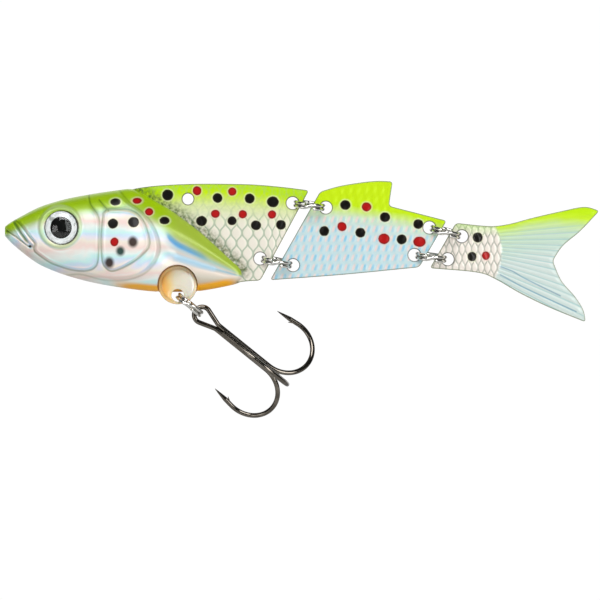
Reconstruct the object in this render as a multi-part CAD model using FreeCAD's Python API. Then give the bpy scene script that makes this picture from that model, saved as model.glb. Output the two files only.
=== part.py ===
# Jointed blade swimbait. Millimetres, +X towards the tail, +Z up, the mid-plane is Y = 0.
# The origin is the centre of the line-tie hole in the front blade.
import FreeCAD, Part
import math
import os

V = FreeCAD.Vector

# --- driving dimensions ---------------------------------------------------------------
plate_t = 1.0            # thickness of the three blade plates
corner_r = 0.45          # rounding of the blades' outer corners
tie_r = 0.84             # line-tie hole
ring_hole_r = 0.93       # holes for the joint rings
hinge_lean = 30.0        # lean of both hinge lines from the vertical, top towards the tail

ring_wire = 0.55         # split-ring wire
ring_r = 2.2             # split ring, centreline radius of the coil
ring_coils = 2
ring_tilt = 5.0          # how far each joint ring has rolled about its own hole-to-hole line

front_upper = (18.4, -0.96)      # upper joint ring centres, as (x, z)
rear_upper = (39.1, -4.99)
front_spacing = 9.9              # from each upper ring to the lower one, down the hinge line
rear_spacing = 4.42
front_upper_dip = 7.7            # each ring's hole-to-hole line dips towards the tail
front_lower_dip = 11.5
rear_upper_dip = 15.0
rear_lower_dip = 7.3
hole_gap = 2.55                  # from a ring's centre to each of its two holes

shell_wall = 1.4         # wall of the hollow head
section_power = 2.3      # how square the head's cross-sections are
pin_r = 0.7              # locating pins of the left shell
pin_half = 1.7           # half length of each pin, across the mid-plane
pin_fit = 0.04           # clearance round each pin

eye_at = (-18.96, -4.4)  # centre of the eye, as (x, z)
eye_out = 4.05           # distance of the eye foil from the mid-plane
eye_r = 2.5
eye_turn = 11.0          # how far the eye looks forward
foil_t = 0.2
lens_rise = 1.1          # crown of the resin dome over the foil

hanger_at = (-1.55, -13.06)      # centre of the round boss
hanger_r = 2.93
hanger_half = 1.15
notch_r = 3.05                   # round notch of the head, in which the boss sits
hook_hole_at = (-1.55, -14.62)
hook_hole_r = 0.95
hook_dip = 38.9                  # hook ring and treble point this far below the tail direction
hook_ring_reach = 2.3            # from the hook hole to the hook ring's centre

weight_r = 2.2
weight_from = (-17.5, -8.9)      # ends of the ballast slug's axis, as (x, z)
weight_to = (-9.5, -9.3)

hook_wire = 0.75         # treble wire
shank = 9.6              # straight shank, from the eye's throat to the bend
bend_r = 4.45            # centreline radius of each bend
bend_over = 8.0          # how far each bend goes past a half circle
single_back = 0.55       # the third hook sits this much nearer the eye than the other two
tip_back = 5.4           # how far along the shank each point reaches back to
point_len = 2.3          # ground cone of each point
eye_loop_r = 1.225       # centreline radius of the treble's eye
eye_flare = 18.0         # angle at which the two wires leave the shank
eye_flare_r = 1.5
eye_seat = 3.35          # from the throat to the ring's wire, inside the eye

# --- helpers --------------------------------------------------------------------------


def at(point, y=0.0):
    """A point given as (x, z), at a distance y from the mid-plane."""
    return V(point[0], y, point[1])


def line(a, b):
    return Part.makeLine(at(a), at(b))


def curve(points):
    """A smooth curve through a few points in the mid-plane."""
    spline = Part.BSplineCurve()
    spline.interpolate([at(p) for p in points])
    return spline.toShape()


def plate(edges, thickness=plate_t):
    """A flat plate, centred on the mid-plane, from the edges of its outline in order."""
    face = Part.Face(Part.Wire(edges))
    face.translate(V(0, -thickness / 2, 0))
    solid = face.extrude(V(0, thickness, 0))
    return solid


def cross_bar(centre, radius, half=12.0):
    """A bar along Y, used to drill holes."""
    return Part.makeCylinder(radius, 2 * half, at(centre, -half), V(0, 1, 0))


def rounded(solid, corners, radius=corner_r):
    """Rounds the plate's square corners that stand at the given (x, z) places."""
    picked = []
    for edge in solid.Edges:
        ends = [vertex.Point for vertex in edge.Vertexes]
        along_y = len(ends) == 2 and abs(ends[0].x - ends[1].x) + abs(ends[0].z - ends[1].z) < 1e-6
        if along_y and any((at(c) - at((ends[0].x, ends[0].z))).Length < 0.05 for c in corners):
            picked.append(edge)
    return solid.makeFillet(radius, picked)


def toward(dip):
    """Unit vector in the mid-plane that dips below the tail direction by the given angle."""
    return V(math.cos(math.radians(dip)), 0, -math.sin(math.radians(dip)))


def beside(centre, dip, distance):
    """The (x, z) place at a distance from centre, along a line that dips towards the tail."""
    place = at(centre) + toward(dip) * distance
    return (place.x, place.z)


def down_hinge(centre, distance):
    """The (x, z) place at a distance down the leaning hinge line through centre."""
    lean = math.radians(hinge_lean)
    return (centre[0] - distance * math.sin(lean), centre[1] - distance * math.cos(lean))


front_lower = down_hinge(front_upper, front_spacing)
rear_lower = down_hinge(rear_upper, rear_spacing)

# --- head -----------------------------------------------------------------------------

# Stations of the head along X: x, top z, bottom z, half width.
head_stations = [
    (-27.8, -4.3, -5.8, 0.7),
    (-26.4, -3.2, -6.95, 1.6),
    (-24.5, -2.2, -8.55, 2.75),
    (-21.6, -0.85, -10.42, 3.95),
    (-18.0, 0.15, -11.78, 4.8),
    (-13.6, 0.9, -12.88, 5.2),
    (-9.6, 1.4, -13.52, 4.9),
    (-6.4, 0.6, -13.9, 4.2),
    (-3.0, -1.2, -14.08, 3.35),
    (1.0, -4.3, -13.95, 2.45),
    (4.8, -7.85, -13.4, 1.7),
    (7.9, -10.55, -12.82, 1.05),
]
cavity_from = 2          # first and last station that the hollow runs through
cavity_to = 7


def section(x, top, bottom, half, points=20):
    """Closed section of the head: a superellipse between its top and bottom."""
    middle = (top + bottom) / 2
    rise = (top - bottom) / 2
    ring = []
    for step in range(points):
        angle = 2 * math.pi * step / points
        c = math.cos(angle)
        s = math.sin(angle)
        y = half * math.copysign(abs(s) ** (2 / section_power), s)
        z = middle + rise * math.copysign(abs(c) ** (2 / section_power), c)
        ring.append(V(x, y, z))
    spline = Part.BSplineCurve()
    spline.interpolate(ring, PeriodicFlag=True)
    return Part.Wire([spline.toShape()])


def head_body():
    return Part.makeLoft([section(*station) for station in head_stations], True, False)


def head_cavity():
    inner = []
    for x, top, bottom, half in head_stations[cavity_from:cavity_to + 1]:
        inner.append(section(x, top - 1.3 * shell_wall, bottom + 1.3 * shell_wall, half - shell_wall))
    return Part.makeLoft(inner, True, False)


def keel_weight():
    axis = at(weight_to) - at(weight_from)
    slug = Part.makeCylinder(weight_r, axis.Length, at(weight_from), axis)
    return slug.makeFillet(0.4, [edge for edge in slug.Edges if edge.Curve.TypeId == "Part::GeomCircle"])


def locating_pins(radius, reach):
    """Three short pins across the joint: two through the front blade, one through the hanger."""
    pins = [cross_bar(place, radius, reach) for place in ((-4.6, -4.2), (2.2, -9.0), (-1.44, -9.1))]
    return pins[0].fuse(pins[1:])


def eye_frame(side):
    """Centre of the eye foil's back and the direction the eye looks in; side is -1 on the left."""
    turn = math.radians(eye_turn)
    look = V(-math.sin(turn), side * math.cos(turn), 0)
    return at(eye_at, side * eye_out), look


def eye_foil(side):
    centre, look = eye_frame(side)
    return Part.makeCylinder(eye_r, foil_t, centre, look)


def eye_lens(side):
    """Resin dome: a spherical cap on a short cylinder, standing on the foil."""
    centre, look = eye_frame(side)
    base = centre + look * foil_t
    rim = 0.3
    cap_h = lens_rise - rim
    ball_r = (eye_r ** 2 + cap_h ** 2) / (2 * cap_h)
    ball = Part.makeSphere(ball_r, base + look * (rim + cap_h - ball_r))
    blank = Part.makeCylinder(eye_r, lens_rise, base, look)
    return blank.common(ball)


def eye_socket(side):
    centre, look = eye_frame(side)
    return Part.makeCylinder(eye_r, 4.0, centre, look)


def head_shell(side, solid, inner_parts):
    """One half of the head, cleared for everything that it grips."""
    half_space = Part.makeBox(80, 20, 60, V(-40, 0 if side > 0 else -20, -40))
    shell = solid.common(half_space)
    shell = shell.cut(inner_parts)
    if side > 0:
        return shell.cut(locating_pins(pin_r + pin_fit, pin_half + pin_fit))
    return shell.fuse(locating_pins(pin_r, pin_half)).removeSplitter()


# --- hook hanger ----------------------------------------------------------------------


def hook_hanger():
    """Round boss with the hook hole, on a flat tang that the head shells grip."""
    boss = cross_bar(hanger_at, hanger_r, hanger_half)
    boss = boss.makeFillet(0.35, [edge for edge in boss.Edges if edge.Curve.TypeId == "Part::GeomCircle"])
    tang = Part.makeBox(4.4, plate_t, 4.6, V(-3.64, -plate_t / 2, -12.4))
    tang = tang.cut(locating_pins(pin_r + pin_fit, 2.0))
    whole = boss.fuse(tang)
    return whole.cut(cross_bar(hook_hole_at, hook_hole_r)).removeSplitter()


# --- blades ---------------------------------------------------------------------------


def ring_holes(joints):
    """Drills for the joint rings: each joint is (centre, dip, -1 ahead of it or +1 behind it)."""
    bars = [cross_bar(beside(centre, dip, way * hole_gap), ring_hole_r) for centre, dip, way in joints]
    return bars[0].fuse(bars[1:])


def front_blade():
    nape = (-9.6, 1.0)               # a tongue reaches forward here, under the top of the head
    top_rear = (18.35, 1.3)
    bottom_rear = (10.97, -12.38)
    keel = (2.6, -13.56)
    tang_corner = (0.95, -9.14)      # the edge steps round the hanger's tang here
    edges = [
        curve([nape, (-8.6, 1.42), (-7.3, 1.7), (-4.4, 2.04), (0.2, 2.27), (4.9, 2.3), (10.0, 2.18),
               (14.6, 1.78), top_rear]),
        line(top_rear, bottom_rear),
        curve([bottom_rear, (8.6, -12.52), (5.4, -13.06), keel]),
        line(keel, (2.6, -10.2)),
        line((2.6, -10.2), tang_corner),
        line(tang_corner, (0.95, -7.6)),
        line((0.95, -7.6), (-8.2, -5.6)),
        line((-8.2, -5.6), (-8.2, 0.2)),
        line((-8.2, 0.2), (-9.6, 0.4)),
        line((-9.6, 0.4), nape),
    ]
    solid = rounded(plate(edges), [top_rear, bottom_rear])
    solid = solid.cut(cross_bar((0, 0), tie_r))
    solid = solid.cut(ring_holes([(front_upper, front_upper_dip, -1), (front_lower, front_lower_dip, -1)]))
    return solid.cut(locating_pins(pin_r + pin_fit, 2.0))


def mid_blade():
    top_front = (20.05, 1.12)
    fin_rear = (31.08, 2.64)
    fin_foot = (30.5, -1.05)
    top_rear = (39.25, -3.3)
    bottom_rear = (35.1, -10.36)
    bottom_front = (12.45, -12.32)
    edges = [
        curve([top_front, (23.07, 1.97), (26.4, 2.52), (28.9, 2.74), fin_rear]),
        curve([fin_rear, (30.86, 1.37), fin_foot]),
        line(fin_foot, top_rear),
        line(top_rear, bottom_rear),
        curve([bottom_rear, (23.4, -11.5), bottom_front]),
        line(bottom_front, top_front),
    ]
    solid = rounded(plate(edges), [top_front, top_rear, bottom_rear, bottom_front])
    solid = rounded(solid, [fin_rear], 0.35)
    front = ring_holes([(front_upper, front_upper_dip, 1), (front_lower, front_lower_dip, 1)])
    rear = ring_holes([(rear_upper, rear_upper_dip, -1), (rear_lower, rear_lower_dip, -1)])
    return solid.cut(front).cut(rear)


def tail_blade():
    top_front = (40.65, -3.64)
    upper_tip = (62.45, -1.8)
    notch = (55.35, -9.4)
    lower_tip = (60.35, -18.7)
    bottom_front = (36.72, -10.5)
    edges = [
        curve([top_front, (45.8, -4.12), (48.8, -3.78), (52.2, -2.88), (56.8, -1.82), (60.2, -1.2), upper_tip]),
        curve([upper_tip, (59.5, -4.9), (56.9, -7.1), notch]),
        curve([notch, (56.68, -12.42), (58.65, -14.7), (60.0, -16.85), lower_tip]),
        curve([lower_tip, (54.95, -16.5), (50.4, -14.3), (46.75, -12.2), (43.9, -11.15), bottom_front]),
        line(bottom_front, top_front),
    ]
    solid = rounded(plate(edges), [top_front, bottom_front])
    solid = rounded(solid, [upper_tip, lower_tip], 0.4)
    return solid.cut(ring_holes([(rear_upper, rear_upper_dip, 1), (rear_lower, rear_lower_dip, 1)]))


# --- split rings ----------------------------------------------------------------------


def split_ring(centre, dip, tilt=0.0):
    """Envelope of a two-coil split ring: a rounded section turned about the ring's axis.

    The ring lies in the plane of the Y axis and the line that dips towards the tail, and is
    then rolled about that line by the tilt."""
    half = ring_wire / 2
    reach = half * (ring_coils - 1)
    profile = Part.Wire([
        Part.makeLine(V(ring_r - half, 0, -reach), V(ring_r - half, 0, reach)),
        Part.Arc(V(ring_r - half, 0, reach), V(ring_r, 0, reach + half), V(ring_r + half, 0, reach)).toShape(),
        Part.makeLine(V(ring_r + half, 0, reach), V(ring_r + half, 0, -reach)),
        Part.Arc(V(ring_r + half, 0, -reach), V(ring_r, 0, -reach - half), V(ring_r - half, 0, -reach)).toShape(),
    ])
    ring = Part.Face(profile).revolve(V(0, 0, 0), V(0, 0, 1), 360)
    ring.rotate(V(0, 0, 0), V(0, 1, 0), dip)
    ring.rotate(V(0, 0, 0), toward(dip), tilt)
    ring.translate(at(centre))
    return ring


# --- treble hook ----------------------------------------------------------------------

hook_ring_at = beside(hook_hole_at, hook_dip, hook_ring_reach)
throat = at(beside(hook_ring_at, hook_dip, ring_r + eye_seat))
along = toward(hook_dip)
up = V(0, 1, 0).cross(along) * -1      # square to the shank, in the mid-plane, upper side
pair_t = 0.36                          # half the spacing of the double shank's two wires
pair_y = 0.24                          # the double shank lies this far behind the treble's axis
single_y = -0.49                       # and the third shank this far in front of it


def on_wire(start, out, s, r):
    """A point at s along the shank and r out from it."""
    return start + along * s + out * r


def point_leg(start, out):
    """Where a hook's bend ends, the direction of the leg from there to the point, and its length."""
    over = math.radians(bend_over)
    end = on_wire(start, out, shank - bend_r * math.sin(over), bend_r * (1 + math.cos(over)))
    leg = along * -math.cos(over) - out * math.sin(over)
    length = (shank - bend_r * math.sin(over) - tip_back) / math.cos(over)
    return end, leg, length


def hook_path(start, out, from_s):
    """Shank, bend and point leg of one hook, as tangent edges up to the ground cone."""
    a = on_wire(start, out, from_s, 0)
    b = on_wire(start, out, shank, 0)
    top = on_wire(start, out, shank + bend_r, bend_r)
    c, leg, length = point_leg(start, out)
    return [Part.makeLine(a, b), Part.Arc(b, top, c).toShape(), Part.makeLine(c, c + leg * (length - point_len))]


def point_and_barb(start, out):
    """Ground cone at the end of a hook, with a small barb on its inner side."""
    end, leg, length = point_leg(start, out)
    inward = along.cross(out).cross(leg)
    cone = Part.makeCone(hook_wire / 2, 0.03, point_len, end + leg * (length - point_len), leg)
    foot = end + leg * (length - point_len - 0.9) + inward * 0.1
    barb = Part.makeCone(0.2, 0.02, 1.1, foot, leg * 0.85 + inward * 0.53)
    return [cone, barb]


def swept(edges):
    """Round wire along a chain of tangent edges."""
    path = Part.Wire(edges)
    first = edges[0]
    heading = first.tangentAt(first.FirstParameter)
    ring = Part.Wire([Part.makeCircle(hook_wire / 2, first.valueAt(first.FirstParameter), heading)])
    return path.makePipeShell([ring], True, True)


def hook_out(turn):
    """Direction in which a hook leaves the shank; 0 is towards -Y."""
    turn = math.radians(turn)
    return V(0, -math.cos(turn), 0) + up * math.sin(turn)


def eye_loop():
    """Half of the treble's teardrop eye, from the throat to its far end, on the upper side."""
    flare = math.radians(eye_flare)
    centre = V(0, pair_y, 0)
    rise = eye_loop_r * math.cos(flare) - pair_t - eye_flare_r * (1 - math.cos(flare))
    run = rise / math.sin(flare)
    loop_s = (eye_flare_r + eye_loop_r) * math.sin(flare) + run * math.cos(flare)

    def place(s, t):
        return throat + centre - along * s + up * t

    def bend_at(angle):
        return place(eye_flare_r * math.sin(angle), pair_t + eye_flare_r * (1 - math.cos(angle)))

    leave = bend_at(flare)
    join = place(loop_s - eye_loop_r * math.sin(flare), eye_loop_r * math.cos(flare))
    crown = place(loop_s + eye_loop_r * math.sin(math.radians(36)), eye_loop_r * math.cos(math.radians(36)))
    far = place(loop_s + eye_loop_r, 0)
    return [
        Part.Arc(bend_at(0), bend_at(flare / 2), leave).toShape(),
        Part.makeLine(leave, join),
        Part.Arc(join, crown, far).toShape(),
    ]


def treble_double_wire():
    """One wire bent into the eye, two shanks side by side and two hooks."""
    halves = []
    for side in (1, -1):
        start = throat + V(0, pair_y, 0) + up * (side * pair_t)
        out = hook_out(120 * side)
        hook = swept(hook_path(start, out, 0))
        halves += [hook] + point_and_barb(start, out)
    upper_eye = swept(eye_loop())
    lower_eye = upper_eye.mirror(throat, up)
    return halves[0].fuse(halves[1:] + [upper_eye, lower_eye]).removeSplitter()


def treble_single_wire():
    start = throat + V(0, single_y, 0) - along * single_back
    out = hook_out(0)
    hook = swept(hook_path(start, out, 1.0 + single_back))
    return hook.fuse(point_and_barb(start, out)).removeSplitter()


def treble_braze(wires):
    """Braze metal in the valleys between the double shank and the third one."""
    near = throat + along * 1.6
    corners = [(-0.5, pair_y - 0.08), (0.5, pair_y - 0.08), (0.24, single_y + 0.08), (-0.24, single_y + 0.08)]
    outline = [near + up * t + V(0, y, 0) for t, y in corners]
    face = Part.Face(Part.makePolygon(outline + outline[:1]))
    return face.extrude(along * (shank - 2.4)).cut(wires)


# --- assembly -------------------------------------------------------------------------


def largest(shape):
    """The biggest solid of a cut, without slivers."""
    return max(shape.Solids, key=lambda solid: solid.Volume)


def build():
    parts = {}
    parts["front_blade"] = front_blade()
    parts["mid_blade"] = mid_blade()
    parts["tail_blade"] = tail_blade()
    parts["hook_hanger"] = hook_hanger()
    parts["keel_weight"] = keel_weight()
    sides = {"left": -1, "right": 1}
    for name, side in sides.items():
        parts["eye_foil_" + name] = eye_foil(side)
        parts["eye_lens_" + name] = eye_lens(side)
    solid = head_body().cut(head_cavity())
    notch = cross_bar(hanger_at, notch_r)
    gripped = [parts["front_blade"], parts["hook_hanger"], parts["keel_weight"], notch]
    for name, side in sides.items():
        parts["head_shell_" + name] = largest(head_shell(side, solid, gripped + [eye_socket(side)]))
    parts["front_upper_ring"] = split_ring(front_upper, front_upper_dip, ring_tilt)
    parts["front_lower_ring"] = split_ring(front_lower, front_lower_dip, ring_tilt)
    parts["rear_upper_ring"] = split_ring(rear_upper, rear_upper_dip, ring_tilt)
    parts["rear_lower_ring"] = split_ring(rear_lower, rear_lower_dip, ring_tilt)
    parts["hook_ring"] = split_ring(hook_ring_at, hook_dip)
    parts["treble_double_wire"] = treble_double_wire()
    parts["treble_single_wire"] = treble_single_wire()
    parts["treble_braze"] = treble_braze([parts["treble_double_wire"], parts["treble_single_wire"]])
    return parts


os.makedirs("parts", exist_ok=True)
for node, shape in build().items():
    shape.exportStep("parts/" + node + ".step")
    print(node, len(shape.Solids), round(shape.Volume, 2), shape.isValid())
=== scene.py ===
import bpy
import math
from functools import partial
import numpy as np
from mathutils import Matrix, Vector
from mathutils.geometry import delaunay_2d_cdt


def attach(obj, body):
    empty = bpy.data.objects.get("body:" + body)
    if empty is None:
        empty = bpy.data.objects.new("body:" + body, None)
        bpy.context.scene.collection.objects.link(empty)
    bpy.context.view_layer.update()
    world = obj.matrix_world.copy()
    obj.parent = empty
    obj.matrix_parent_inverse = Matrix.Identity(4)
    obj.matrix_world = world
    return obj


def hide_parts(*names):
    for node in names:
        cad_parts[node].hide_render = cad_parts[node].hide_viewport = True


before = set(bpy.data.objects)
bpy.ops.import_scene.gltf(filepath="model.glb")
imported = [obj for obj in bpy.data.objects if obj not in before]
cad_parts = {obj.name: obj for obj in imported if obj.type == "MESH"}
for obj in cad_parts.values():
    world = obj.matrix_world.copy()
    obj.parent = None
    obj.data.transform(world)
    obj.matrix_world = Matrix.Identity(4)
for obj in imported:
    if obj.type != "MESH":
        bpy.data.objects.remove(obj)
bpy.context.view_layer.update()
mm = 0.001
print("frame loaded")

# camera first: level, square to the fish's left side, long lens
view = {"centreX": 17.0, "centreZ": -15.33, "width": 91.1, "away": 700.0}
cameraData = bpy.data.cameras.new("camera")
cameraData.sensor_width = 36.0
cameraData.lens = 36.0 * view["away"] / view["width"]
cameraData.clip_end = 20.0
camera = bpy.data.objects.new("camera", cameraData)
camera.location = (view["centreX"] * mm, -view["away"] * mm, view["centreZ"] * mm)
camera.rotation_euler = (math.pi / 2, 0, 0)
bpy.context.scene.collection.objects.link(camera)
bpy.context.scene.camera = camera


# small tools

def toLinear(code):
    # sRGB hex to linear colour with alpha 1
    srgb = np.array([int(code[i:i + 2], 16) for i in (1, 3, 5)]) / 255
    linear = np.where(srgb <= 0.04045, srgb / 12.92, ((srgb + 0.055) / 1.055) ** 2.4)
    return (*linear.tolist(), 1.0)


def addNode(tree, kind, links=None, **settings):
    # one node: links maps an input to a value, a node (its first output) or a socket
    node = tree.nodes.new("ShaderNode" + kind)
    stops = settings.pop("stops", None)
    for key, value in settings.items():
        setattr(node, key, value)
    if stops:
        while len(node.color_ramp.elements) < len(stops):
            node.color_ramp.elements.new(1.0)
        for element, (place, code) in zip(node.color_ramp.elements, stops):
            element.position = place
            element.color = toLinear(code)
    for key, value in (links or {}).items():
        if isinstance(value, bpy.types.Node):
            value = value.outputs[0]
        if isinstance(value, bpy.types.NodeSocket):
            tree.links.new(value, node.inputs[key])
        else:
            node.inputs[key].default_value = toLinear(value) if isinstance(value, str) else value
    return node


def newMaterial(name):
    # an empty material, what adds a node to it, and the place on the object that patterns follow
    material = bpy.data.materials.new(name)
    material.use_nodes = True
    material.node_tree.nodes.clear()
    add = partial(addNode, material.node_tree)
    return material, add, add("TexCoord").outputs["Object"]


smooth = {"interpolation_type": "SMOOTHSTEP"}


def finish(material, add, **sockets):
    # the surface shader; a name such as Coat_Weight stands for the socket Coat Weight
    skin = add("BsdfPrincipled", {key.replace("_", " "): value for key, value in sockets.items()})
    add("OutputMaterial", {"Surface": skin})
    return material


def painted(add, colour, *coats):
    # coats of paint laid one over another, each as (colour, cover) or (colour, cover, blend)
    for over, cover, *blend in coats:
        colour = add("MixRGB", {"Fac": cover, "Color1": colour, "Color2": over},
                     blend_type=blend[0] if blend else "MIX")
    return colour


def field(add, name, low=None, high=None, to=(0.0, 1.0)):
    # a point value of the piece, or its smooth step from low to high
    value = add("Attribute", attribute_name=name).outputs["Fac"]
    if low is None:
        return value
    return add("MapRange", {0: value, 1: low, 2: high, 3: to[0], 4: to[1]}, **smooth)


def smoothRun(points, perSpan=10):
    # Catmull-Rom curve: each span is the cubic whose end slopes join its outer neighbours
    p = np.asarray(points, float)
    p = np.vstack([2 * p[0] - p[1], p, 2 * p[-1] - p[-2]])
    t = (np.arange(perSpan) / perSpan)[None, :, None]
    a, b, c, d = (p[i:len(p) - 3 + i][:, None, :] for i in range(4))
    spans = 0.5 * (2 * b + (c - a) * t + (2 * a - 5 * b + 4 * c - d) * t ** 2
                   + (3 * b - a - 3 * c + d) * t ** 3)
    return np.vstack([spans.reshape(-1, p.shape[1]), p[-2]])


def evenRun(points, step, closed=False):
    # the same line with points an equal step apart
    p = np.vstack([points, points[:1]]) if closed else np.asarray(points)
    along = np.concatenate([[0], np.cumsum(np.linalg.norm(np.diff(p, axis=0), axis=1))])
    count = max(2, int(round(along[-1] / step)))
    want = np.linspace(0, along[-1], count + 1)
    if closed:
        want = want[:-1]
    return np.stack([np.interp(want, along, p[:, k]) for k in range(p.shape[1])], axis=1)


def lineDistance(x, z, line, closed=False):
    # distance from each (x, z) to a line of points: to the nearest spot on any of its spans
    a = np.asarray(line, float)
    b = np.roll(a, -1, axis=0)
    if not closed:
        a, b = a[:-1], b[:-1]
    flatX, flatZ = np.ravel(x), np.ravel(z)
    best = np.full(flatX.shape, 1e9)
    for (ax, az), (bx, bz) in zip(a, b):
        spanX, spanZ = bx - ax, bz - az
        share = ((flatX - ax) * spanX + (flatZ - az) * spanZ) / (spanX ** 2 + spanZ ** 2 + 1e-12)
        share = np.clip(share, 0, 1)
        gap = (flatX - ax - share * spanX) ** 2 + (flatZ - az - share * spanZ) ** 2
        best = np.minimum(best, gap)
    return np.sqrt(best).reshape(np.shape(x))


def insideLine(x, z, line):
    # even-odd rule: a place is inside if a ray from it crosses the closed line an odd number of times
    inside = np.zeros(np.shape(x), bool)
    for (ax, az), (bx, bz) in zip(line, np.roll(line, -1, axis=0)):
        if az != bz:
            crosses = ((az > z) != (bz > z)) & (x < (bx - ax) * (z - az) / (bz - az) + ax)
            inside ^= crosses
    return inside


def insideBy(x, z, line):
    # signed distance to a closed line, positive inside
    gap = lineDistance(x, z, line, closed=True)
    return np.where(insideLine(x, z, line), gap, -gap)


def ease(value, low, high):
    # smooth step from 0 at low to 1 at high
    share = np.clip((value - low) / (high - low), 0, 1)
    return share * share * (3 - 2 * share)


def gridFaces(rows, columns, start=0):
    # quads of a grid whose points are numbered row by row and whose columns wrap round
    i, j = np.meshgrid(np.arange(rows - 1) * columns, np.arange(columns), indexing="ij")
    k = (j + 1) % columns
    quads = np.stack([i + j, i + k, i + columns + k, i + columns + j], axis=-1)
    return quads.reshape(-1, 4) + start


def makePiece(name, points, faces, material, body, slot, nodes=(), fields=None, sharp=40):
    # points in millimetres, faces as arrays of triangles or quads, fields as one number per point
    mesh = bpy.data.meshes.new(name)
    groups = [np.asarray(f, np.int32) for f in faces if len(f)]
    loops = np.concatenate([f.ravel() for f in groups])
    sizes = np.concatenate([np.full(len(f), f.shape[1], np.int32) for f in groups])
    mesh.vertices.add(len(points))
    mesh.vertices.foreach_set("co", (np.asarray(points) * mm).astype(np.float32).ravel())
    mesh.loops.add(len(loops))
    mesh.loops.foreach_set("vertex_index", loops)
    mesh.polygons.add(len(sizes))
    mesh.polygons.foreach_set("loop_start", np.concatenate([[0], np.cumsum(sizes)[:-1]]).astype(np.int32))
    mesh.polygons.foreach_set("use_smooth", np.ones(len(sizes), bool))
    for key, values in (fields or {}).items():
        field = mesh.attributes.new(key, "FLOAT", "POINT")
        field.data.foreach_set("value", np.asarray(values, np.float32).ravel())
    mesh.update(calc_edges=True)
    mesh.validate()
    mesh.set_sharp_from_angle(angle=math.radians(sharp))
    mesh.materials.append(material)
    piece = bpy.data.objects.new(name, mesh)
    bpy.context.scene.collection.objects.link(piece)
    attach(piece, body)
    if nodes:
        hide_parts(*nodes)
    return piece


def closedEnds(points, rows, columns, first, last):
    # a grid whose columns wrap, closed at each end by a fan of triangles down to a pole
    j = np.arange(columns)
    k = (j + 1) % columns
    pole, base = np.full(columns, rows * columns), (rows - 1) * columns
    fans = np.concatenate([np.stack([pole, k, j], axis=1),
                           np.stack([pole + 1, base + j, base + k], axis=1)])
    return np.vstack([points, [first], [last]]), [gridFaces(rows, columns), fans]


def tube(path, radius, sideways, sides):
    # profile carried along a path: a circle of the local radius in the plane square to the path.
    # sideways is a direction that the path never runs along. Both ends close on a pole.
    path = np.asarray(path, float)
    radius = np.broadcast_to(radius, len(path))
    ahead = np.gradient(path, axis=0)
    ahead /= np.linalg.norm(ahead, axis=1)[:, None]
    one = np.cross(np.asarray(sideways, float), ahead)
    one /= np.linalg.norm(one, axis=1)[:, None]
    two = np.cross(ahead, one)
    angle = np.arange(sides) * 2 * math.pi / sides
    ring = one[:, None] * np.cos(angle)[None, :, None] + two[:, None] * np.sin(angle)[None, :, None]
    points = (path[:, None] + ring * radius[:, None, None]).reshape(-1, 3)
    return closedEnds(points, len(path), sides, path[0], path[-1])


def joined(*solids):
    # several (points, faces) lists as one, with the numbers of the later ones moved up
    points, faces, start = [], [], 0
    for p, groups in solids:
        points.append(p)
        faces += [np.asarray(f) + start for f in groups]
        start += len(p)
    return np.vstack(points), faces


def turned(profile, centre, axis, steps=96):
    # surface of revolution: each (radius, height) of the profile carried once round the axis.
    # The profile starts and ends on the axis; its two ends become poles.
    axis = np.asarray(axis, float) / np.linalg.norm(axis)
    one = np.cross([0, 0, 1.0], axis)
    one /= np.linalg.norm(one)
    two = np.cross(axis, one)
    profile = np.asarray(profile, float)
    body = profile[1:-1]
    angle = np.arange(steps) * 2 * math.pi / steps
    ring = one * np.cos(angle)[:, None] + two * np.sin(angle)[:, None]
    points = body[:, None, :1] * ring[None] + body[:, None, 1:] * axis + centre
    points = points.reshape(-1, 3)
    poles = np.asarray(centre) + profile[[0, -1], 1][:, None] * axis
    return closedEnds(points, len(body), steps, *poles)


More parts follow.
